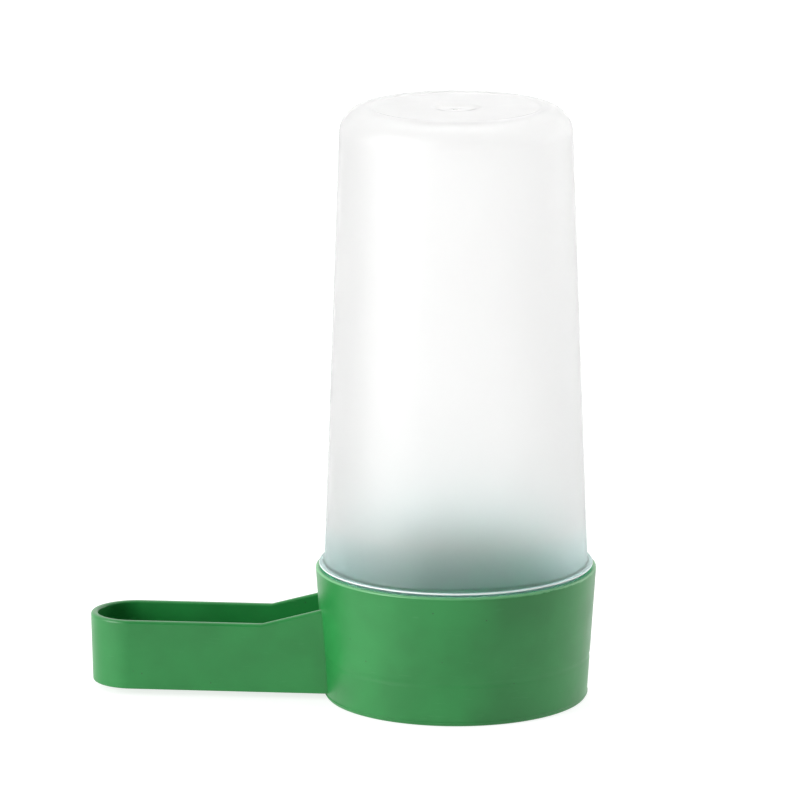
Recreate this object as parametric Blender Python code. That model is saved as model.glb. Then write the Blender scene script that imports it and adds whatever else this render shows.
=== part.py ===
"""Gravity drinker for cage birds and chicks: a translucent bottle stands open end down in a moulded base.

The base is a drafted cup with a drinking trough on its -X side. A window low in the cup's wall lets the
water through to the trough. The origin is on the cup's axis at its foot, +Z is up, and units are metres.
"""

import math

import bmesh
import bpy

MM = 0.001

# Clearances
FIT_GAP = 0.3 * MM           # bottle to base, wherever they seat or slide
MOUTH_GAP = 0.6 * MM         # bottle's mouth above the inner seat
CUT = 5.0 * MM               # how far a cutter runs past what it cuts

# Cup of the base
RIM_RADIUS = 27.0 * MM       # outside, at the rim
CUP_DRAFT = 1.7 * MM         # the outside narrows by this much down to the foot
CUP_HEIGHT = 25.5 * MM
CUP_WALL = 1.55 * MM         # at the rim
BORE_DRAFT = 0.45 * MM       # the bore narrows by this much down to the seat
CUP_FLOOR = 1.6 * MM
SEAT_HEIGHT = 9.4 * MM       # top of the inner ledge under the bottle's mouth
SEAT_LIP = 0.6 * MM          # how far the ledge reaches in past the bottle's inner wall
RIM_CHAMFER = 0.25 * MM
FOOT_EDGE = 0.5 * MM         # rounding between foot and wall

# Drinking trough
TROUGH_LENGTH = 44.1 * MM    # from the outside of the cup's rim to the round end
TROUGH_WIDTH = 17.4 * MM     # outside, at the top
TROUGH_TOP = 14.8 * MM
TROUGH_UNDERSIDE = 1.2 * MM
TROUGH_WALL = 1.4 * MM
TROUGH_FLOOR = 1.5 * MM
TROUGH_DRAFT = 0.3 * MM      # each side narrows by this much down to the underside
RAMP_RUN = 9.7 * MM          # from the outside of the rim to where the trough's edge starts to rise
RAMP_ANGLE = math.radians(15.0)

# Window between cup and trough
WINDOW_SIDE = 2.0 * MM       # wall kept between the window and each side of the trough
WINDOW_SILL = 0.4 * MM       # above the trough's floor
WINDOW_HEAD = 1.4 * MM       # wall kept between the window and the seat

# Bottle
BOTTLE_HEIGHT = 115.0 * MM   # its top above the foot of the base
BOTTLE_WALL = 1.5 * MM
BOTTLE_TOP_WALL = 1.6 * MM
BODY_STEP = 0.15 * MM        # the body stands out past the spigot by this much
BODY_DRAFT = 3.05 * MM       # the body narrows by this much up to the shoulder
SHOULDER_RADIUS = 5.2 * MM
FLANGE_OVERLAP = 0.9 * MM    # how far the flange covers the cup's rim
FLANGE_HEIGHT = 0.8 * MM
FLANGE_FILLET = 0.7 * MM
FLANGE_EDGE = 0.2 * MM
SPIGOT_FLARE = 0.05 * MM     # the inside of the spigot opens by this much to its mouth
GATE_RADIUS = 3.9 * MM       # dimple round the injection point
GATE_DEPTH = 0.7 * MM
GATE_SLOPE = 0.4 * MM

# Facets
TURN_STEPS = 96
SHOULDER_STEPS = 6
SMALL_STEPS = 3
END_STEPS = 24               # the trough's half-round end

# Sizes that follow
bore_rim_radius = RIM_RADIUS - CUP_WALL
bore_seat_radius = bore_rim_radius - BORE_DRAFT
foot_radius = RIM_RADIUS - CUP_DRAFT
spigot_top_radius = bore_rim_radius - FIT_GAP
spigot_mouth_radius = bore_seat_radius - FIT_GAP
body_foot_radius = spigot_top_radius + BODY_STEP
body_top_radius = body_foot_radius - BODY_DRAFT
spigot_inner_radius = body_foot_radius - BOTTLE_WALL
mouth_inner_radius = spigot_inner_radius + SPIGOT_FLARE
sump_radius = mouth_inner_radius - SEAT_LIP
flange_radius = bore_rim_radius + FLANGE_OVERLAP
flange_base = CUP_HEIGHT + FIT_GAP
mouth_height = SEAT_HEIGHT + MOUTH_GAP
trough_floor_top = TROUGH_UNDERSIDE + TROUGH_FLOOR
trough_end_x = -RIM_RADIUS - TROUGH_LENGTH + TROUGH_WIDTH / 2  # middle of the half-round end
trough_start_x = -sump_radius + CUT  # inside the cup, where the bore takes the end away
ramp_start_x = -RIM_RADIUS - RAMP_RUN


def arc(centre_r, centre_z, radius, start, end, steps):
    """Points (r, z) of an arc, from one angle to another in degrees, both ends included."""
    points = []
    for i in range(steps + 1):
        angle = math.radians(start + (end - start) * i / steps)
        points.append((centre_r + radius * math.cos(angle), centre_z + radius * math.sin(angle)))
    return points


def finish_mesh(name, bm):
    bmesh.ops.remove_doubles(bm, verts=bm.verts, dist=1e-6)
    bmesh.ops.recalc_face_normals(bm, faces=bm.faces)
    mesh = bpy.data.meshes.new(name)
    bm.to_mesh(mesh)
    bm.free()
    obj = bpy.data.objects.new(name, mesh)
    bpy.context.scene.collection.objects.link(obj)
    return obj


def turned(name, profile):
    """A solid turned about Z from a profile of (r, z) points that starts and ends on the axis."""
    bm = bmesh.new()
    verts = [bm.verts.new((r, 0.0, z)) for r, z in profile]
    edges = [bm.edges.new(pair) for pair in zip(verts, verts[1:])]
    bmesh.ops.spin(
        bm, geom=verts + edges, cent=(0, 0, 0), axis=(0, 0, 1),
        angle=2 * math.pi, steps=TURN_STEPS, use_merge=True,
    )
    return finish_mesh(name, bm)


def trough_half_width(z):
    """Half the trough's outside width at a height, on its drafted sides."""
    return TROUGH_WIDTH / 2 - TROUGH_DRAFT * (TROUGH_TOP - z) / (TROUGH_TOP - TROUGH_UNDERSIDE)


def trough_edge_height(x):
    """The trough's edge is level out to the ramp, and then rises towards the cup."""
    return TROUGH_TOP + max(0.0, x - ramp_start_x) * math.tan(RAMP_ANGLE)


def trough_ring(inset, height_at):
    """Points round the trough's plan: one straight side, the half-round end, the other side."""
    side = []
    for x in (trough_start_x - inset, ramp_start_x):
        z = height_at(x)
        side.append((x, trough_half_width(z) - inset, z))
    end_z = height_at(trough_end_x)
    radius = trough_half_width(end_z) - inset
    end = []
    for i in range(END_STEPS + 1):
        angle = math.pi * (1.5 - i / END_STEPS)
        end.append((trough_end_x + radius * math.cos(angle), radius * math.sin(angle), end_z))
    return [(x, -y, z) for x, y, z in side] + end + side[::-1]


def trough_solid(name, inset, low_z, high_at):
    """The trough's plan from a level underside up to the height that high_at gives at each x."""
    bm = bmesh.new()
    low = [bm.verts.new(point) for point in trough_ring(inset, lambda x: low_z)]
    high = [bm.verts.new(point) for point in trough_ring(inset, high_at)]
    for i in range(len(low)):
        j = (i + 1) % len(low)
        bm.faces.new((low[i], low[j], high[j], high[i]))
    bm.faces.new(low)
    bm.faces.new(high[1:-1])
    bm.faces.new((high[0], high[1], high[-2], high[-1]))
    return finish_mesh(name, bm)


def box(name, low, high):
    bm = bmesh.new()
    bmesh.ops.create_cube(bm, size=1.0)
    for v in bm.verts:
        v.co = [lo if c < 0 else hi for c, lo, hi in zip(v.co, low, high)]
    return finish_mesh(name, bm)


def as_cutter(obj):
    obj.hide_render = True
    obj.display_type = "WIRE"
    return obj


def combine(obj, other, operation):
    modifier = obj.modifiers.new(f"{operation.lower()} {other.name}", "BOOLEAN")
    modifier.operation = operation
    modifier.solver = "EXACT"
    modifier.object = other


def plastic(name, colour, roughness, transmission=0.0):
    material = bpy.data.materials.new(name)
    material.use_nodes = True
    shader = material.node_tree.nodes["Principled BSDF"]
    shader.inputs["Base Color"].default_value = (*colour, 1.0)
    shader.inputs["Roughness"].default_value = roughness
    shader.inputs["Metallic"].default_value = 0.0
    shader.inputs["Transmission Weight"].default_value = transmission
    return material


def smooth(obj):
    obj.data.shade_smooth()
    obj.data.set_sharp_from_angle(angle=math.radians(30))


def cup_solid():
    """The base's cup as a full solid, before it is bored."""
    profile = [
        (0, CUP_HEIGHT),
        (RIM_RADIUS - RIM_CHAMFER, CUP_HEIGHT),
        (RIM_RADIUS, CUP_HEIGHT - RIM_CHAMFER),
    ]
    profile += arc(foot_radius - FOOT_EDGE, FOOT_EDGE, FOOT_EDGE, 0, -90, SMALL_STEPS)
    profile += [(0, 0)]
    return turned("trough_base", profile)


def bore_cutter():
    """The bore for the spigot, with a lead-in at the rim, and the narrower sump below the seat."""
    profile = [
        (0, CUP_HEIGHT + CUT),
        (bore_rim_radius + RIM_CHAMFER + CUT, CUP_HEIGHT + CUT),
        (bore_rim_radius + RIM_CHAMFER, CUP_HEIGHT),
        (bore_rim_radius, CUP_HEIGHT - RIM_CHAMFER),
        (bore_seat_radius, SEAT_HEIGHT),
        (sump_radius, SEAT_HEIGHT),
        (sump_radius, CUP_FLOOR),
        (0, CUP_FLOOR),
    ]
    return as_cutter(turned("bore_cutter", profile))


def make_base():
    base = cup_solid()

    # The trough is hollowed before it joins the cup, so the cup's own wall stays whole
    trough = trough_solid("trough_blank", 0.0, TROUGH_UNDERSIDE, trough_edge_height)
    hollow = trough_solid("hollow_cutter", TROUGH_WALL, trough_floor_top, lambda x: CUP_HEIGHT + CUT)
    combine(trough, as_cutter(hollow), "DIFFERENCE")

    window_half = trough_half_width(trough_floor_top) - TROUGH_WALL - WINDOW_SIDE
    window = box(
        "window_cutter",
        (-RIM_RADIUS - CUT, -window_half, trough_floor_top + WINDOW_SILL),
        (-sump_radius + CUT, window_half, SEAT_HEIGHT - WINDOW_HEAD),
    )

    combine(base, as_cutter(trough), "UNION")
    combine(base, bore_cutter(), "DIFFERENCE")
    combine(base, as_cutter(window), "DIFFERENCE")
    base.data.materials.append(plastic("green_polypropylene", (0.05, 0.27, 0.10), 0.38))
    smooth(base)
    return base


def make_reservoir():
    # Outside, from the dimple in the top down to the mouth
    flange_top = flange_base + FLANGE_HEIGHT
    profile = [
        (0, BOTTLE_HEIGHT - GATE_DEPTH),
        (GATE_RADIUS - GATE_SLOPE, BOTTLE_HEIGHT - GATE_DEPTH),
        (GATE_RADIUS, BOTTLE_HEIGHT),
    ]
    profile += arc(
        body_top_radius - SHOULDER_RADIUS, BOTTLE_HEIGHT - SHOULDER_RADIUS, SHOULDER_RADIUS, 90, 0,
        SHOULDER_STEPS,
    )
    profile += arc(
        body_foot_radius + FLANGE_FILLET, flange_top + FLANGE_FILLET, FLANGE_FILLET, 180, 270, SMALL_STEPS
    )
    profile += arc(flange_radius - FLANGE_EDGE, flange_top - FLANGE_EDGE, FLANGE_EDGE, 90, 0, SMALL_STEPS)
    profile += [
        (flange_radius, flange_base),
        (spigot_top_radius, flange_base),
        (spigot_mouth_radius, mouth_height),
    ]

    # Inside, from the mouth back up to the top
    inner_top_radius = body_top_radius - BOTTLE_WALL
    inner_shoulder = SHOULDER_RADIUS - BOTTLE_WALL
    ceiling = BOTTLE_HEIGHT - BOTTLE_TOP_WALL
    profile += [(mouth_inner_radius, mouth_height), (spigot_inner_radius, flange_base)]
    profile += arc(
        inner_top_radius - inner_shoulder, ceiling - inner_shoulder, inner_shoulder, 0, 90, SHOULDER_STEPS
    )
    profile += [
        (GATE_RADIUS, ceiling),
        (GATE_RADIUS - GATE_SLOPE, ceiling - GATE_DEPTH),
        (0, ceiling - GATE_DEPTH),
    ]
    reservoir = turned("reservoir", profile)
    reservoir.data.materials.append(plastic("milky_polypropylene", (0.90, 0.92, 0.93), 0.30, 0.7))
    smooth(reservoir)
    return reservoir


def main():
    for obj in list(bpy.data.objects):
        bpy.data.objects.remove(obj, do_unlink=True)
    make_base()
    make_reservoir()


main()
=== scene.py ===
# A drinker for small birds: a milky bottle that stands mouth down in a green base with a drinking trough.
# Metres throughout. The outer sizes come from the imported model, and +Z is up.
import math

import bmesh
import bpy
from mathutils import Matrix, Vector


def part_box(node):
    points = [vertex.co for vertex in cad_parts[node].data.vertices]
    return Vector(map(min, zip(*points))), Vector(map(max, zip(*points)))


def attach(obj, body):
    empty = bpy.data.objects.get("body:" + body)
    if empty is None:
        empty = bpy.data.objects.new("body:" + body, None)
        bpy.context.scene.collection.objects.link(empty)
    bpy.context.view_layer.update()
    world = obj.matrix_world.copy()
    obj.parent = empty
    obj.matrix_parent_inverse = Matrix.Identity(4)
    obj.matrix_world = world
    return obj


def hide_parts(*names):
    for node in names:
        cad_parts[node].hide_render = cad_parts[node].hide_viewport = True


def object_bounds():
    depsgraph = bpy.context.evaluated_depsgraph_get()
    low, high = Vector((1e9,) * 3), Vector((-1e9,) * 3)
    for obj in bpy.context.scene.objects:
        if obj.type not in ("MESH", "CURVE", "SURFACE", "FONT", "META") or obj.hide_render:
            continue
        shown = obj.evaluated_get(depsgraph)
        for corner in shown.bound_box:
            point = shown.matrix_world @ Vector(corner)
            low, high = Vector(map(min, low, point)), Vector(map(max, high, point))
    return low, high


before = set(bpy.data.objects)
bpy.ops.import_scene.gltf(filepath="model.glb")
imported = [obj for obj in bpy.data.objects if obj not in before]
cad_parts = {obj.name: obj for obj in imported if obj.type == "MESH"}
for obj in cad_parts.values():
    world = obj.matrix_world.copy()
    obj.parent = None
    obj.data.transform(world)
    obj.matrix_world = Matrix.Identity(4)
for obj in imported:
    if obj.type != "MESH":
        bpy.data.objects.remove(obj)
cadLow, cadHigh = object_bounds()
bottleLow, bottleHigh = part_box("reservoir")
baseLow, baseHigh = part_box("trough_base")
mm = 0.001
slack = 0.01 * mm         # places this close together count as one
wideSlack = 0.05 * mm     # the same, for telling the trough's outer edge from its inner one
mergeWithin = 0.001 * mm
sliver = 0.002 * mm       # shorter edges, left by the cuts, are taken out
leastTurn = 5.0           # degrees; an edge that turns less is no corner
print("frame loaded")


def clearSelection():
    if bpy.context.object and bpy.context.object.mode != "OBJECT":
        bpy.ops.object.mode_set(mode="OBJECT")
    bpy.ops.object.select_all(action="DESELECT")


def startDisc(name, radius, centre, segments):
    clearSelection()
    bpy.ops.mesh.primitive_circle_add(vertices=segments, radius=radius, fill_type="NGON", location=centre)
    disc = bpy.context.object
    disc.name = disc.data.name = name
    bpy.ops.object.transform_apply(location=True, rotation=True, scale=True)
    bpy.ops.object.mode_set(mode="EDIT")
    bpy.ops.mesh.select_mode(type="FACE")
    bpy.ops.mesh.select_all(action="SELECT")
    return disc


def extrudeBy(x, y, z):
    bpy.ops.mesh.extrude_region_move(TRANSFORM_OT_translate={"value": (x, y, z)})


def scaleAbout(centre, x, y, z):
    bpy.ops.transform.resize(value=(x, y, z), center_override=centre)


def drawThrough(profile):  # the selected disc goes from ring to ring, each (radius, height)
    for (fromRadius, fromHeight), (radius, height) in zip(profile, profile[1:]):
        extrudeBy(0, 0, height - fromHeight)
        scaleAbout((0, 0, height), radius / fromRadius, radius / fromRadius, 1)


def arcRings(centreRadius, centreHeight, radius, fromAngle, toAngle, steps):
    rings = []
    for i in range(steps + 1):
        angle = math.radians(fromAngle + (toAngle - fromAngle) * i / steps)
        rings.append((centreRadius + radius * math.cos(angle), centreHeight + radius * math.sin(angle)))
    return rings


def pickEdges(piece, wanted, cornersOnly=False):  # selects the edges whose two ends both pass
    bpy.ops.mesh.select_mode(type="EDGE")
    bpy.ops.mesh.select_all(action="DESELECT")
    mesh = bmesh.from_edit_mesh(piece.data)
    for edge in mesh.edges:
        turns = not cornersOnly or edge.calc_face_angle(math.pi) > math.radians(leastTurn)
        edge.select_set(turns and all(wanted(vert.co) for vert in edge.verts))
    bmesh.update_edit_mesh(piece.data)


def pickFaces(piece, wanted):
    bpy.ops.mesh.select_mode(type="FACE")
    bpy.ops.mesh.select_all(action="DESELECT")
    mesh = bmesh.from_edit_mesh(piece.data)
    for face in mesh.faces:
        face.select_set(wanted(face))
    bmesh.update_edit_mesh(piece.data)


def closeUp():  # what is being edited becomes one clean skin, and editing ends
    bpy.ops.mesh.select_mode(type="VERT")
    bpy.ops.mesh.select_all(action="SELECT")
    bpy.ops.mesh.remove_doubles(threshold=mergeWithin)
    bpy.ops.mesh.normals_make_consistent(inside=False)
    bpy.ops.object.mode_set(mode="OBJECT")


def combine(piece, other, operation):
    clearSelection()
    piece.select_set(True)
    bpy.context.view_layer.objects.active = piece
    change = piece.modifiers.new(operation.lower(), "BOOLEAN")
    change.operation = operation
    change.solver = "EXACT"
    change.object = other
    bpy.ops.object.modifier_apply(modifier=change.name)
    bpy.data.objects.remove(other, do_unlink=True)


def smoothOver(piece, angle):
    clearSelection()
    piece.select_set(True)
    bpy.context.view_layer.objects.active = piece
    bpy.ops.object.shade_smooth_by_angle(angle=math.radians(angle))
    even = piece.modifiers.new("even normals", "WEIGHTED_NORMAL")
    even.keep_sharp = True
    bpy.ops.object.modifier_apply(modifier=even.name)


bottle = {
    "segments": 192,
    "wall": 1.5 * mm,
    "topWall": 1.6 * mm,
    "bodyFootRadius": 25.3 * mm,
    "bodyTopRadius": 22.25 * mm,
    "shoulder": 5.2 * mm,
    "spigotTopRadius": 25.15 * mm,
    "spigotMouthRadius": 24.7 * mm,
    "flare": 0.05 * mm,
    "seatGap": 0.3 * mm,         # flange to rim
    "flangeHeight": 0.65 * mm,   # at the fillet
    "flangeRim": (0.22 * mm, 0.45 * mm),  # its outer edge, from and to
    "flangeEdge": 0.08 * mm,
    "flangeTurn": 70,            # degrees that each half of its edge turns
    "flangeFillet": 0.6 * mm,
    "spigotCorner": 0.15 * mm,   # where the spigot meets the flange
    "mouthEdge": 0.3 * mm,
    "panelDepth": 0.2 * mm,      # the flat top lies this far under the shoulder's crest
    "panelStep": 1.4 * mm,
    "stepInset": 0.84 * mm,      # from the shoulder's crest to the middle of the step
    "dimpleRadius": 3.5 * mm,
    "dimpleSlope": 3.0 * mm,
    "dimpleDepth": 0.5 * mm,
    "gateRadius": 0.6 * mm,
    "gateHeight": 0.12 * mm,
    "gateEdge": 0.12 * mm,
    "gateFoot": ((0.05 * mm, 0.04 * mm), (0.2 * mm, 0)),  # each: out from the gate mark, up from the dimple
    "sideLean": 3,               # degrees that the shoulder stops short of upright
    "edgeSteps": 4,
    "filletSteps": 6,
    "panelSteps": 8,
    "dimpleSteps": 10,
    "innerSteps": 14,
    "shoulderSteps": 16,
    "smoothAngle": 40,
}


def dishRings(radius, slope, fromHeight, toHeight, steps):  # a soft step from one height to the other
    rings = []
    for i in range(steps + 1):
        share = i / steps
        ease = (1 - math.cos(math.pi * share)) / 2
        rings.append((radius + slope * (share - 0.5), fromHeight + (toHeight - fromHeight) * ease))
    return rings


def makeBottle():
    b = bottle
    top = bottleHigh.z
    mouth = bottleLow.z
    flangeRadius = bottleHigh.x
    flangeBase = baseHigh.z + b["seatGap"]
    flangeTop = flangeBase + b["flangeHeight"]
    panel = top - b["panelDepth"]
    dimpleFloor = panel - b["dimpleDepth"]
    gateTop = dimpleFloor + b["gateHeight"]
    gateEdge = b["gateEdge"]
    fillet = b["flangeFillet"]
    edge = b["flangeEdge"]
    corner = b["spigotCorner"]
    lip = b["mouthEdge"]
    steps = b["edgeSteps"]

    # down the outside, from the middle of the top to the mouth
    outside = arcRings(b["gateRadius"] - gateEdge, gateTop - gateEdge, gateEdge, 90, 0, steps)
    outside += [(b["gateRadius"] + out, dimpleFloor + up) for out, up in b["gateFoot"]]
    outside += dishRings(b["dimpleRadius"], b["dimpleSlope"], dimpleFloor, panel, b["dimpleSteps"])
    shoulderRadius = b["bodyTopRadius"] - b["shoulder"]
    outside += dishRings(shoulderRadius - b["stepInset"], b["panelStep"], panel, top, b["panelSteps"])
    outside += arcRings(shoulderRadius, top - b["shoulder"], b["shoulder"], 90, b["sideLean"],
                        b["shoulderSteps"])
    outside += arcRings(b["bodyFootRadius"] + fillet, flangeTop + fillet, fillet, 180, 270, b["filletSteps"])
    rimBase, rimTop = (flangeBase + height for height in b["flangeRim"])
    outside += arcRings(flangeRadius - edge, rimTop - edge, edge, b["flangeTurn"], 0, steps)
    outside += arcRings(flangeRadius - edge, rimBase + edge, edge, 0, -b["flangeTurn"], steps)
    outside += [(b["spigotTopRadius"] + corner, flangeBase), (b["spigotTopRadius"], flangeBase - corner)]
    outside += arcRings(b["spigotMouthRadius"] - lip, mouth + lip, lip, 0, -90, steps)

    # and up the inside
    spigotInner = b["bodyFootRadius"] - b["wall"]
    mouthInner = spigotInner + b["flare"]
    innerTop = b["bodyTopRadius"] - b["wall"]
    innerShoulder = b["shoulder"] - b["wall"]
    ceiling = top - b["topWall"]
    inside = arcRings(mouthInner + lip, mouth + lip, lip, 270, 180, steps)
    inside += [(spigotInner, flangeBase)]
    inside += arcRings(innerTop - innerShoulder, ceiling - innerShoulder, innerShoulder,
                       b["sideLean"], 90, b["innerSteps"])
    inside += dishRings(b["dimpleRadius"], -b["dimpleSlope"], ceiling, ceiling - b["dimpleDepth"],
                        b["dimpleSteps"])

    profile = outside + inside
    piece = startDisc("bottle", profile[0][0], (0, 0, profile[0][1]), b["segments"])
    drawThrough(profile)
    closeUp()
    smoothOver(piece, b["smoothAngle"])
    return piece


base = {
    "segments": 192,
    "footRadius": 25.3 * mm,
    "footEdge": 0.5 * mm,
    "footLip": 0.12 * mm,        # flash left by the mould
    "lipRings": ((0.62 * mm, 1), (0.78 * mm, 1), (0.9 * mm, 0)),  # height, share of the lip
    "rimEdge": 0.4 * mm,
    "sinkDepth": 0.08 * mm,      # a faint hollow round the outside, beside the inner ledge
    "sinkDrop": 1.2 * mm,        # from the ledge down to its middle
    "sinkRings": ((-0.9 * mm, 0), (-0.45 * mm, 0.5), (-0.15 * mm, 1),
                  (0.15 * mm, 1), (0.45 * mm, 0.5), (0.9 * mm, 0)),  # height, share of the depth
    "wall": 1.55 * mm,
    "boreDraft": 0.45 * mm,
    "leadIn": 0.25 * mm,
    "ledgeHeight": 9.4 * mm,
    "sumpRadius": 23.25 * mm,
    "sumpCorner": 0.5 * mm,
    "floor": 1.6 * mm,
    "overrun": 5.0 * mm,         # how far the cutting shapes reach past what they cut
    "footSteps": 6,
    "rimSteps": 4,
    "smoothAngle": 30,
}
trough = {
    "segments": 128,
    "width": 17.4 * mm,
    "top": 14.8 * mm,
    "underside": 1.2 * mm,
    "draft": 0.3 * mm,
    "wall": 1.4 * mm,
    "floor": 2.7 * mm,
    "rampRun": 9.7 * mm,         # from the cup's rim to where the edge starts to rise
    "rampAngle": 15.0,
    "innerEnd": -18.0 * mm,      # inside the cup, where the bore takes it away
    "outerRound": 0.6 * mm,
    "innerRound": 0.45 * mm,
    "bottomRound": 0.35 * mm,
    "floorRound": 0.7 * mm,
    "roundSteps": 4,
}
window = {
    "halfWidth": 5.03 * mm,
    "low": 3.1 * mm,
    "high": 8.0 * mm,
    "corner": 0.6 * mm,
    "cornerSteps": 4,
}


def makeCup():
    c = base
    rim = baseHigh.z
    rimRadius = baseHigh.x
    slope = (rimRadius - c["footRadius"]) / rim
    footEdge, rimEdge = c["footEdge"], c["rimEdge"]
    profile = arcRings(c["footRadius"] - footEdge, footEdge, footEdge, -90, 0, c["footSteps"])
    for height, stand in c["lipRings"]:
        profile.append((c["footRadius"] + slope * height + stand * c["footLip"], height))
    for rise, sink in c["sinkRings"]:
        height = c["ledgeHeight"] - c["sinkDrop"] + rise
        profile.append((c["footRadius"] + slope * height - sink * c["sinkDepth"], height))
    profile += arcRings(rimRadius - rimEdge, rim - rimEdge, rimEdge, 0, 90, c["rimSteps"])
    cup = startDisc("base", profile[0][0], (0, 0, 0), c["segments"])
    drawThrough(profile)
    closeUp()
    return cup


def makeBore():
    c = base
    rim = baseHigh.z
    boreRim = baseHigh.x - c["wall"]
    boreSeat = boreRim - c["boreDraft"]
    over = c["overrun"]
    profile = [
        (c["sumpRadius"] - c["sumpCorner"], c["floor"]),
        (c["sumpRadius"], c["floor"] + c["sumpCorner"]),
        (c["sumpRadius"], c["ledgeHeight"]),
        (boreSeat, c["ledgeHeight"]),
        (boreRim, rim - c["leadIn"]),
        (boreRim + c["leadIn"], rim),
        (boreRim + c["leadIn"] + over, rim + over),
    ]
    bore = startDisc("bore", profile[0][0], (0, 0, profile[0][1]), c["segments"])
    drawThrough(profile)
    closeUp()
    return bore


def makeTrough():
    t = trough
    rimRadius = baseHigh.x
    topRadius = t["width"] / 2
    bottomRadius = topRadius - t["draft"]
    endX = baseLow.x + topRadius
    rampX = -rimRadius - t["rampRun"]
    low, high = t["underside"], t["top"]

    # half a disc, drawn out to the cup and up to the edge, with the edge wider than the underside
    piece = startDisc("trough", bottomRadius, (endX, 0, low), t["segments"])
    bpy.ops.mesh.bisect(plane_co=(endX, 0, low), plane_no=(1, 0, 0), clear_outer=True)
    pickEdges(piece, lambda co: abs(co.x - endX) < slack)
    extrudeBy(t["innerEnd"] - endX, 0, 0)
    bpy.ops.mesh.select_mode(type="FACE")
    bpy.ops.mesh.select_all(action="SELECT")
    extrudeBy(0, 0, high - low)
    spread = topRadius / bottomRadius
    scaleAbout((endX, 0, high), spread, spread, 1)
    closeUp()

    # the ramp: a cut across, and the inner end of the edge raised
    bpy.ops.object.mode_set(mode="EDIT")
    bpy.ops.mesh.select_all(action="SELECT")
    bpy.ops.mesh.bisect(plane_co=(rampX, 0, 0), plane_no=(1, 0, 0))
    farX = max(v.co.x for v in bmesh.from_edit_mesh(piece.data).verts)
    pickEdges(piece, lambda co: co.x > farX - slack and co.z > high - slack)
    bpy.ops.transform.translate(value=(0, 0, (farX - rampX) * math.tan(math.radians(t["rampAngle"]))))

    # the hollow
    pickFaces(piece, lambda face: face.normal.z > 0.5 and face.calc_center_median().z > high - slack)
    bpy.ops.mesh.inset(thickness=t["wall"], use_boundary=True, use_even_offset=True)
    extrudeBy(0, 0, -mm)  # by any amount, as the next line flattens it onto the floor
    scaleAbout((endX, 0, t["floor"]), 1, 1, 0)
    narrow = (topRadius - t["wall"] - t["draft"]) / (topRadius - t["wall"])
    scaleAbout((endX, 0, t["floor"]), narrow, narrow, 1)
    closeUp()

    # rounded edges
    inner = topRadius - t["wall"]
    bpy.ops.object.mode_set(mode="EDIT")
    for wanted, radius in (
        (lambda co: co.z > high - slack and outsideTrough(co, topRadius - wideSlack, endX), t["outerRound"]),
        (lambda co: co.z > high - slack and not outsideTrough(co, inner + wideSlack, endX), t["innerRound"]),
        (lambda co: co.z < low + slack, t["bottomRound"]),
        (lambda co: abs(co.z - t["floor"]) < slack, t["floorRound"]),
    ):
        pickEdges(piece, wanted, cornersOnly=True)
        bpy.ops.mesh.bevel(offset=radius, segments=t["roundSteps"], profile=0.5, clamp_overlap=False)
    closeUp()
    return piece


def outsideTrough(co, radius, endX):  # at or past this far from the middle line of the trough
    return math.hypot(min(co.x - endX, 0), co.y) > radius


def makeWindow():
    w = window
    clearSelection()
    outer = -baseHigh.x - base["overrun"]
    inner = -base["sumpRadius"] + base["overrun"]
    size = (inner - outer, 2 * w["halfWidth"], w["high"] - w["low"])
    bpy.ops.mesh.primitive_cube_add(size=1, scale=size,
                                    location=((inner + outer) / 2, 0, (w["high"] + w["low"]) / 2))
    piece = bpy.context.object
    piece.name = "window"
    bpy.ops.object.transform_apply(location=True, rotation=True, scale=True)
    bpy.ops.object.mode_set(mode="EDIT")
    bpy.ops.mesh.select_mode(type="EDGE")
    bpy.ops.mesh.select_all(action="DESELECT")
    mesh = bmesh.from_edit_mesh(piece.data)
    for edge in mesh.edges:  # the four long ones
        along = edge.verts[0].co - edge.verts[1].co
        edge.select_set(abs(along.x) > 0.5 * (inner - outer))
    bmesh.update_edit_mesh(piece.data)
    bpy.ops.mesh.bevel(offset=w["corner"], segments=w["cornerSteps"])
    closeUp()
    return piece


def makeBase():
    cup = makeCup()
    combine(cup, makeTrough(), "UNION")
    combine(cup, makeBore(), "DIFFERENCE")
    combine(cup, makeWindow(), "DIFFERENCE")
    bpy.ops.object.mode_set(mode="EDIT")
    bpy.ops.mesh.select_mode(type="VERT")
    bpy.ops.mesh.select_all(action="SELECT")
    bpy.ops.mesh.dissolve_degenerate(threshold=sliver)
    closeUp()
    return cup


plastic = {
    "ior": 1.49,
    "grainOfNoise": 0.55,
}


def startMaterial(name):
    material = bpy.data.materials.new(name)
    material.use_nodes = True
    tree = material.node_tree
    place = tree.nodes.new("ShaderNodeTexCoord").outputs["Object"]
    return material, tree, tree.nodes["Principled BSDF"], place


def addNode(tree, kind, sockets=None, **settings):
    node = tree.nodes.new(kind)
    for key, value in settings.items():
        setattr(node, key, value)
    for key, value in (sockets or {}).items():
        if isinstance(value, bpy.types.NodeSocket):
            tree.links.new(value, node.inputs[key])
        else:
            node.inputs[key].default_value = value
    return node


def noise(tree, place, scale, detail, stretch=None):
    if stretch:
        place = addNode(tree, "ShaderNodeMapping", {"Vector": place, "Scale": stretch}).outputs["Vector"]
    sockets = {"Vector": place, "Scale": scale, "Detail": detail, "Roughness": plastic["grainOfNoise"]}
    return addNode(tree, "ShaderNodeTexNoise", sockets).outputs["Fac"]


def span(tree, value, fromLow, fromHigh, toLow, toHigh):
    sockets = {"Value": value, "From Min": fromLow, "From Max": fromHigh, "To Min": toLow, "To Max": toHigh}
    return addNode(tree, "ShaderNodeMapRange", sockets).outputs["Result"]


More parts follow.
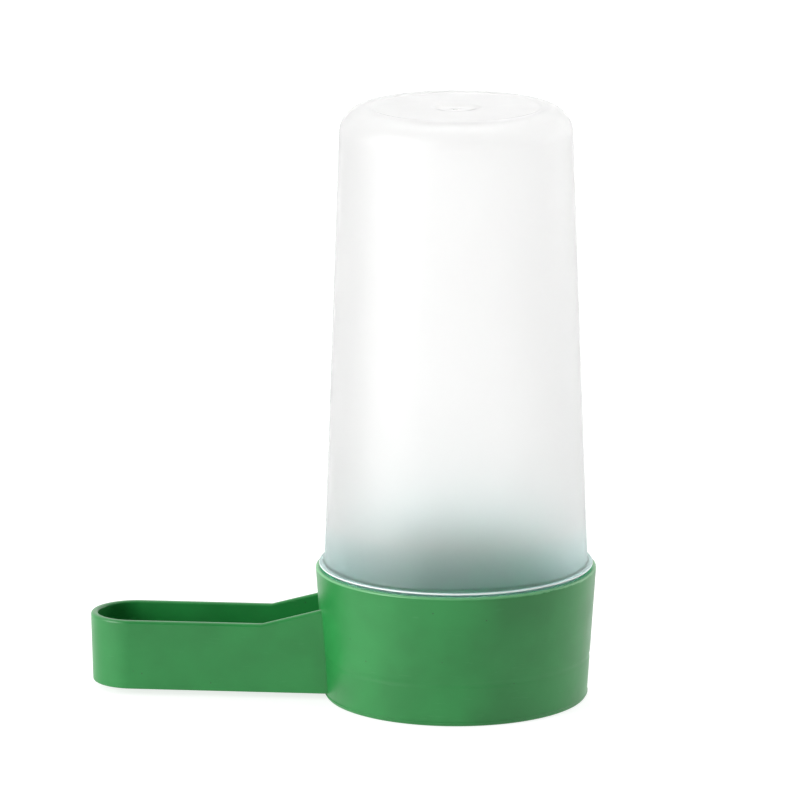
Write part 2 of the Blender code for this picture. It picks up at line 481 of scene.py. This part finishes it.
def blend(tree, share, first, second):
    node = addNode(tree, "ShaderNodeMix", data_type="RGBA")
    for socket, value in ((node.inputs["Factor"], share), (node.inputs[6], first), (node.inputs[7], second)):
        if isinstance(value, bpy.types.NodeSocket):
            tree.links.new(value, socket)
        else:
            socket.default_value = (*value, 1) if isinstance(value, tuple) else value
    return node.outputs[2]


def maths(tree, operation, first, second):
    return addNode(tree, "ShaderNodeMath", {0: first, 1: second}, operation=operation).outputs[0]


def relief(tree, height, strength, depth, under=None):  # a bump, laid over another if one is given
    sockets = {"Height": height, "Strength": strength, "Distance": depth}
    if under:
        sockets["Normal"] = under
    return addNode(tree, "ShaderNodeBump", sockets).outputs["Normal"]


green = {
    "light": (0.011, 0.196, 0.038),
    "deep": (0.007, 0.155, 0.028),
    "inside": (0.020, 0.36, 0.14),
    "worn": (0.10, 0.34, 0.14),
    "speck": (0.012, 0.06, 0.02),
    # painted highlight along the rim's rounded edge
    "crest": (0.11, 0.36, 0.145),
    "driftScale": 70,
    "driftSpan": (0.35, 0.65, 0, 1),
    "rubScale": 260,
    "rubStretch": (1, 1, 9),
    "rubSpan": (0.64, 0.74, 0, 0.12),
    "rubRoughness": 0.8,
    "speckScale": 600.0,
    "speckSpan": (0.07, 0.12, 1, 0),         # by distance from its middle
    "speckShare": (0.90, 0.91, 0, 0.7),      # only some of the cells have one
    "crestDepth": 0.40 * mm,                 # of the painted highlight round the cup's rim
    "crestWidth": 0.15 * mm,
    "crestStrength": 0.8,
    "burrScale": 700,
    "burrReach": (8 * mm, 18 * mm),          # the line grows ragged towards the side away from the trough
    "burr": (0.1 * mm, 0.7 * mm),
    "insideEdge": (-0.8 * mm, -0.6 * mm),    # from the slanting outside of the cup
    "insideHeight": (0.8 * mm, 1.2 * mm),
    "roughScale": 95,
    "roughSpan": (0.3, 0.7),
    "roughness": (0.33, 0.43),
    "waveScale": 120,
    "wave": (0.35, 0.06 * mm),               # strength, depth
    "grainScale": 2600,
    "grain": (0.25, 0.01 * mm),
}


def greenPlastic():
    g = green
    material, tree, shader, place = startMaterial("greenPlastic")
    spot = addNode(tree, "ShaderNodeSeparateXYZ", {"Vector": place}).outputs

    # the plain green, with a few faint rubs and dark specks
    drift = span(tree, noise(tree, place, g["driftScale"], 4), *g["driftSpan"])
    colour = blend(tree, drift, g["deep"], g["light"])
    rubbed = span(tree, noise(tree, place, g["rubScale"], 4, g["rubStretch"]), *g["rubSpan"])
    colour = blend(tree, rubbed, colour, g["worn"])
    cells = addNode(tree, "ShaderNodeTexVoronoi", {"Vector": place, "Scale": g["speckScale"]}).outputs
    close = span(tree, cells["Distance"], *g["speckSpan"])
    draw = addNode(tree, "ShaderNodeSeparateColor", {"Color": cells["Color"]}).outputs[0]
    specks = maths(tree, "MULTIPLY", close, span(tree, draw, *g["speckShare"]))
    colour = blend(tree, specks, colour, g["speck"])

    # a painted highlight along the edge of the rim, ragged where the mould left a burr
    jagged = maths(tree, "SUBTRACT", noise(tree, place, g["burrScale"], 3), 0.5)
    ragged = maths(tree, "MULTIPLY", jagged, span(tree, spot["X"], *g["burrReach"], *g["burr"]))
    line = baseHigh.z - g["crestDepth"]
    height = maths(tree, "ADD", spot["Z"], ragged)
    crest = span(tree, height, line, line + g["crestWidth"], 0, g["crestStrength"])
    colour = blend(tree, crest, colour, g["crest"])

    # lighter inside the cup, where the bottle throws light on it
    across = addNode(tree, "ShaderNodeCombineXYZ", {"X": spot["X"], "Y": spot["Y"]}).outputs[0]
    radius = addNode(tree, "ShaderNodeVectorMath", {0: across}, operation="LENGTH").outputs["Value"]
    lean = (baseHigh.x - base["footRadius"]) / baseHigh.z
    upright = maths(tree, "SUBTRACT", radius, maths(tree, "MULTIPLY", spot["Z"], lean))
    edges = [base["footRadius"] + inset for inset in g["insideEdge"]]
    inward = span(tree, upright, *edges, 1, 0)
    within = maths(tree, "MULTIPLY", inward, span(tree, spot["Z"], *g["insideHeight"], 0, 1))
    colour = blend(tree, within, colour, g["inside"])
    tree.links.new(colour, shader.inputs["Base Color"])

    rough = span(tree, noise(tree, place, g["roughScale"], 4), *g["roughSpan"], *g["roughness"])
    rough = maths(tree, "ADD", rough, maths(tree, "MULTIPLY", rubbed, g["rubRoughness"]))
    tree.links.new(rough, shader.inputs["Roughness"])
    wavy = relief(tree, noise(tree, place, g["waveScale"], 1), *g["wave"])
    grain = relief(tree, noise(tree, place, g["grainScale"], 2), *g["grain"], wavy)
    tree.links.new(grain, shader.inputs["Normal"])
    shader.inputs["IOR"].default_value = plastic["ior"]
    return material


milky = {
    "clear": (0.960, 0.960, 0.958),
    "cloud": (0.945, 0.945, 0.943),
    "glow": (0.74, 0.955, 0.95),   # painted green light: the tint that light from the green base lends the lower end
    "glowHeights": (27 * mm, 35 * mm),
    "cloudScale": 42,
    "cloudSpan": (0.35, 0.65, 0, 1),
    "roughScale": 160,
    "roughStretch": (1, 1, 0.35),
    "roughSpan": (0.3, 0.7),
    "roughness": (0.42, 0.47),
    "waveScale": 70,
    "waveStretch": (1, 1, 0.3),
    "wave": (0.15, 0.03 * mm),     # strength, depth
    "transmission": 0.95,
    "edgeTransmission": 0.25,
    "edgeWidth": 0.12 * mm,        # of the flange's edge that counts as edge
}


def milkyPlastic(name, transmission, glow):
    m = milky
    material, tree, shader, place = startMaterial(name)
    cloud = span(tree, noise(tree, place, m["cloudScale"], 3), *m["cloudSpan"])
    colour = blend(tree, cloud, m["clear"], m["cloud"])
    # painted green light on the lower end, fading out up the bottle above the base
    height = addNode(tree, "ShaderNodeSeparateXYZ", {"Vector": place}).outputs["Z"]
    paintedGreenLight = span(tree, height, *m["glowHeights"], glow, 0)
    colour = blend(tree, paintedGreenLight, colour, m["glow"])
    tree.links.new(colour, shader.inputs["Base Color"])
    rough = noise(tree, place, m["roughScale"], 3, m["roughStretch"])
    tree.links.new(span(tree, rough, *m["roughSpan"], *m["roughness"]), shader.inputs["Roughness"])
    wavy = relief(tree, noise(tree, place, m["waveScale"], 1, m["waveStretch"]), *m["wave"])
    tree.links.new(wavy, shader.inputs["Normal"])
    shader.inputs["Transmission Weight"].default_value = transmission
    shader.inputs["IOR"].default_value = plastic["ior"]
    return material


def finishBottle(piece):  # the flange's thin edge gathers light and looks solid white
    piece.data.materials.append(milkyPlastic("milkyPlastic", milky["transmission"], 1))
    piece.data.materials.append(milkyPlastic("milkyPlasticEdge", milky["edgeTransmission"], 0))
    edgeRadius = bottleHigh.x - milky["edgeWidth"]
    for face in piece.data.polygons:
        face.material_index = int(math.hypot(face.center.x, face.center.y) > edgeRadius)


bottlePiece = makeBottle()
finishBottle(bottlePiece)
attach(bottlePiece, "bottle")
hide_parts("reservoir")
print("bottle made")

basePiece = makeBase()
smoothOver(basePiece, base["smoothAngle"])
basePiece.data.materials.append(greenPlastic())
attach(basePiece, "base")
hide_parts("trough_base")
print("base made")


studio = {
    "floorSize": 6.0,
    "floorColour": (0.32, 0.32, 0.32),
    "floorDrift": 0.98,          # how dark its colour goes, in soft patches
    "floorScale": 3,
    "floorSpan": (0.3, 0.7, 0, 1),
    "floorRoughness": 0.9,
    "floorGlow": 0.77,           # fills the soft shadow under the trough
    "skyFront": 0.12,
    "skyBack": 1.36,             # the sky is brighter behind the drinker
    "skySpan": (-0.6, 0.15),     # along Y, from dark to bright
    "sun": 0.5,
    "sunSpread": 100,
    "sunTilt": -20,
    "softboxes": {
        "softbox_left": ((-1.2, -0.8, 0.5), 24),
        "softbox_right": ((1.3, 0.9, 0.4), 4),
    },                           # place, power
    "softboxSize": (0.8, 0.8),
    "softboxAim": (0, 0, 0.03),
}
view = {
    "azimuth": 6.06,
    "elevation": 12.45,
    "roll": -0.09,
    "distance": 1.232,
    "lens": 289.2,
    "sensor": 36.0,
    "aside": 11.26 * mm,         # the camera looks this far to the cup's side of the middle
    "above": 0.17 * mm,
}


def paleFloor():
    s = studio
    material, tree, shader, place = startMaterial("paleFloor")
    shade = span(tree, noise(tree, place, s["floorScale"], 2), *s["floorSpan"])
    darker = tuple(s["floorDrift"] * part for part in s["floorColour"])
    tree.links.new(blend(tree, shade, s["floorColour"], darker), shader.inputs["Base Color"])
    shader.inputs["Roughness"].default_value = s["floorRoughness"]
    shader.inputs["Emission Color"].default_value = (1, 1, 1, 1)
    shader.inputs["Emission Strength"].default_value = s["floorGlow"]
    return material


def makeFloor():
    clearSelection()
    bpy.ops.mesh.primitive_plane_add(size=studio["floorSize"], location=(0, 0, 0))
    floor = bpy.context.object
    floor.name = floor.data.name = "floor"
    floor.data.materials.append(paleFloor())


def makeLight(name, place, power):
    data = bpy.data.lights.new(name, "AREA")
    data.shape = "RECTANGLE"
    data.size, data.size_y = studio["softboxSize"]
    data.energy = power
    light = bpy.data.objects.new(name, data)
    light.location = place
    toDrinker = Vector(studio["softboxAim"]) - Vector(place)
    light.rotation_euler = toDrinker.to_track_quat("-Z", "Y").to_euler()
    bpy.context.scene.collection.objects.link(light)


def makeSun():
    data = bpy.data.lights.new("overhead", "SUN")
    data.energy = studio["sun"]
    data.angle = math.radians(studio["sunSpread"])
    light = bpy.data.objects.new("overhead", data)
    light.rotation_euler = (math.radians(studio["sunTilt"]), 0, 0)
    bpy.context.scene.collection.objects.link(light)


def makeWorld():
    world = bpy.data.worlds.new("studio")
    world.use_nodes = True
    tree = world.node_tree
    sky = tree.nodes["Background"]
    sky.inputs["Color"].default_value = (1, 1, 1, 1)
    direction = tree.nodes.new("ShaderNodeTexCoord").outputs["Generated"]
    backward = addNode(tree, "ShaderNodeSeparateXYZ", {"Vector": direction}).outputs["Y"]
    strength = span(tree, backward, *studio["skySpan"], studio["skyFront"], studio["skyBack"])
    tree.links.new(strength, sky.inputs["Strength"])
    bpy.context.scene.world = world


def makeCamera():
    middle = (cadLow + cadHigh) / 2
    target = Vector((middle.x + view["aside"], 0, middle.z + view["above"]))
    azimuth, elevation, roll = (math.radians(view[key]) for key in ("azimuth", "elevation", "roll"))
    back = Vector((math.sin(azimuth) * math.cos(elevation), -math.cos(azimuth) * math.cos(elevation),
                   math.sin(elevation)))
    right = Vector((math.cos(azimuth), math.sin(azimuth), 0))
    up = back.cross(right)
    right, up = (right * math.cos(roll) + up * math.sin(roll), up * math.cos(roll) - right * math.sin(roll))
    data = bpy.data.cameras.new("camera")
    data.lens = view["lens"]
    data.sensor_width = view["sensor"]
    camera = bpy.data.objects.new("camera", data)
    camera.matrix_world = (Matrix.Translation(target + back * view["distance"])
                           @ Matrix((right, up, back)).transposed().to_4x4())
    bpy.context.scene.collection.objects.link(camera)
    bpy.context.scene.camera = camera


makeFloor()
makeWorld()
for lightName, (lightPlace, lightPower) in studio["softboxes"].items():
    makeLight(lightName, lightPlace, lightPower)
makeSun()
makeCamera()
bpy.context.scene.view_settings.view_transform = "Standard"
print("studio made")
